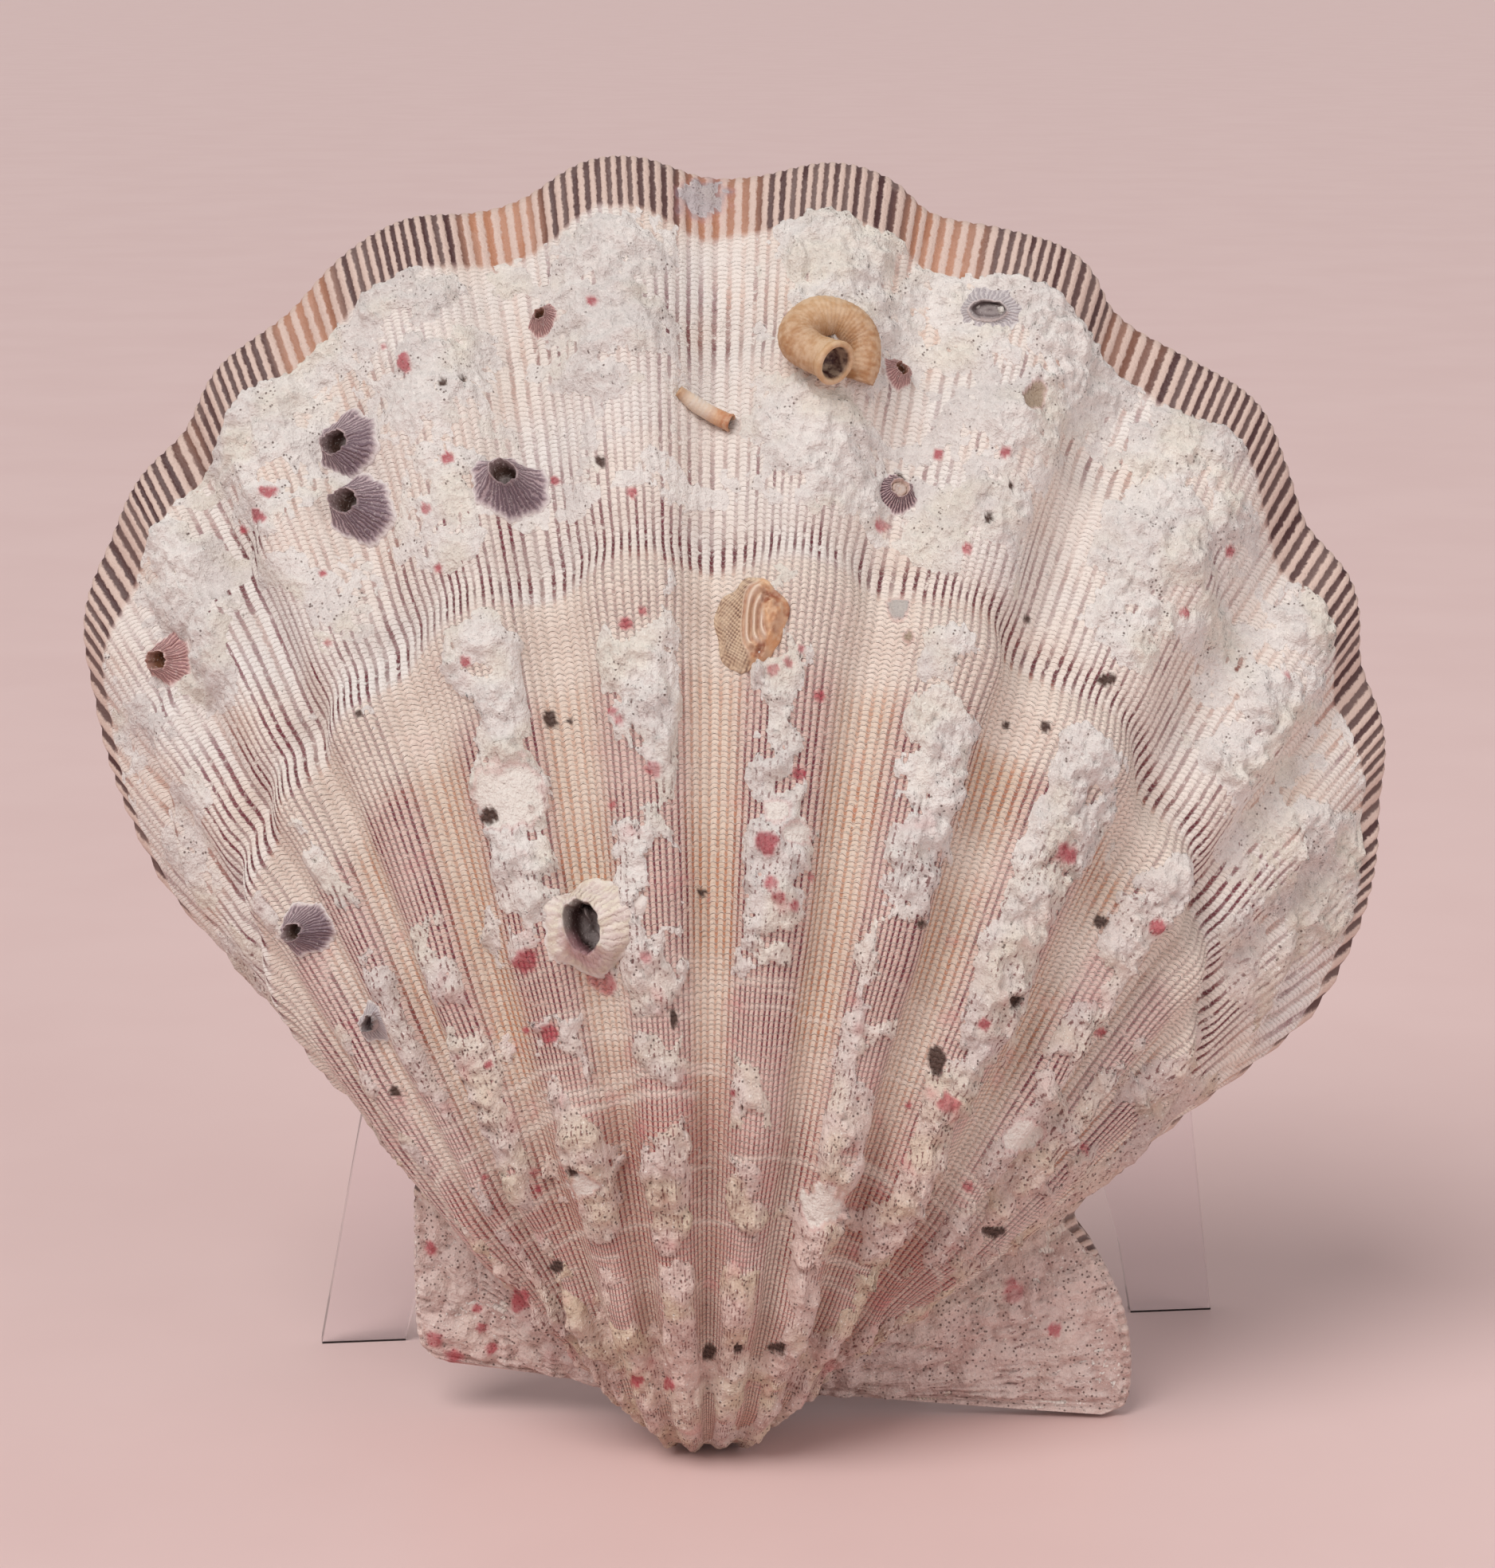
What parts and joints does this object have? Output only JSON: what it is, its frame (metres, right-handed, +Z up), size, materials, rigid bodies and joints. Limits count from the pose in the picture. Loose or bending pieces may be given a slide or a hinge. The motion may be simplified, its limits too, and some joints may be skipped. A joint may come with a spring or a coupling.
{
  "type": "mounted scallop shell",
  "caption": "Large ribbed scallop valve, encrusted with barnacles and worm tubes, standing upright on a clear folded stand.",
  "frame": {"origin": "middle of the outer box, on the floor that the valve's beak, ear corner and the stand's feet rest on", "axes": "+Z up, +X to the viewer's right, the convex outer face of the valve looks along -Y"},
  "size_m": [0.1478, 0.0676, 0.1418],
  "materials": {
    "shell": "rough chalky crust over a striped, satin shell",
    "barnacle": "matt, ribbed",
    "worm_tube": "matt, growth-ringed",
    "clear_sheet": "clear, polished"
  },
  "bodies": {
    "root": {"scallop_valve": "shell", "barnacle_large": "barnacle", "barnacle_upper_left_1": "barnacle", "barnacle_upper_left_2": "barnacle", "barnacle_upper_left_3": "barnacle", "barnacle_left_edge": "barnacle", "barnacle_left_low": "barnacle", "barnacle_left_small": "barnacle", "barnacle_top_small": "barnacle", "barnacle_right_upper": "barnacle", "barnacle_right_filled": "barnacle", "barnacle_right_crushed": "barnacle", "worm_tube_coiled": "worm_tube", "worm_tube_small": "worm_tube", "worm_tube_flattened": "worm_tube", "display_stand": "clear_sheet"}
  },
  "joints": []
}
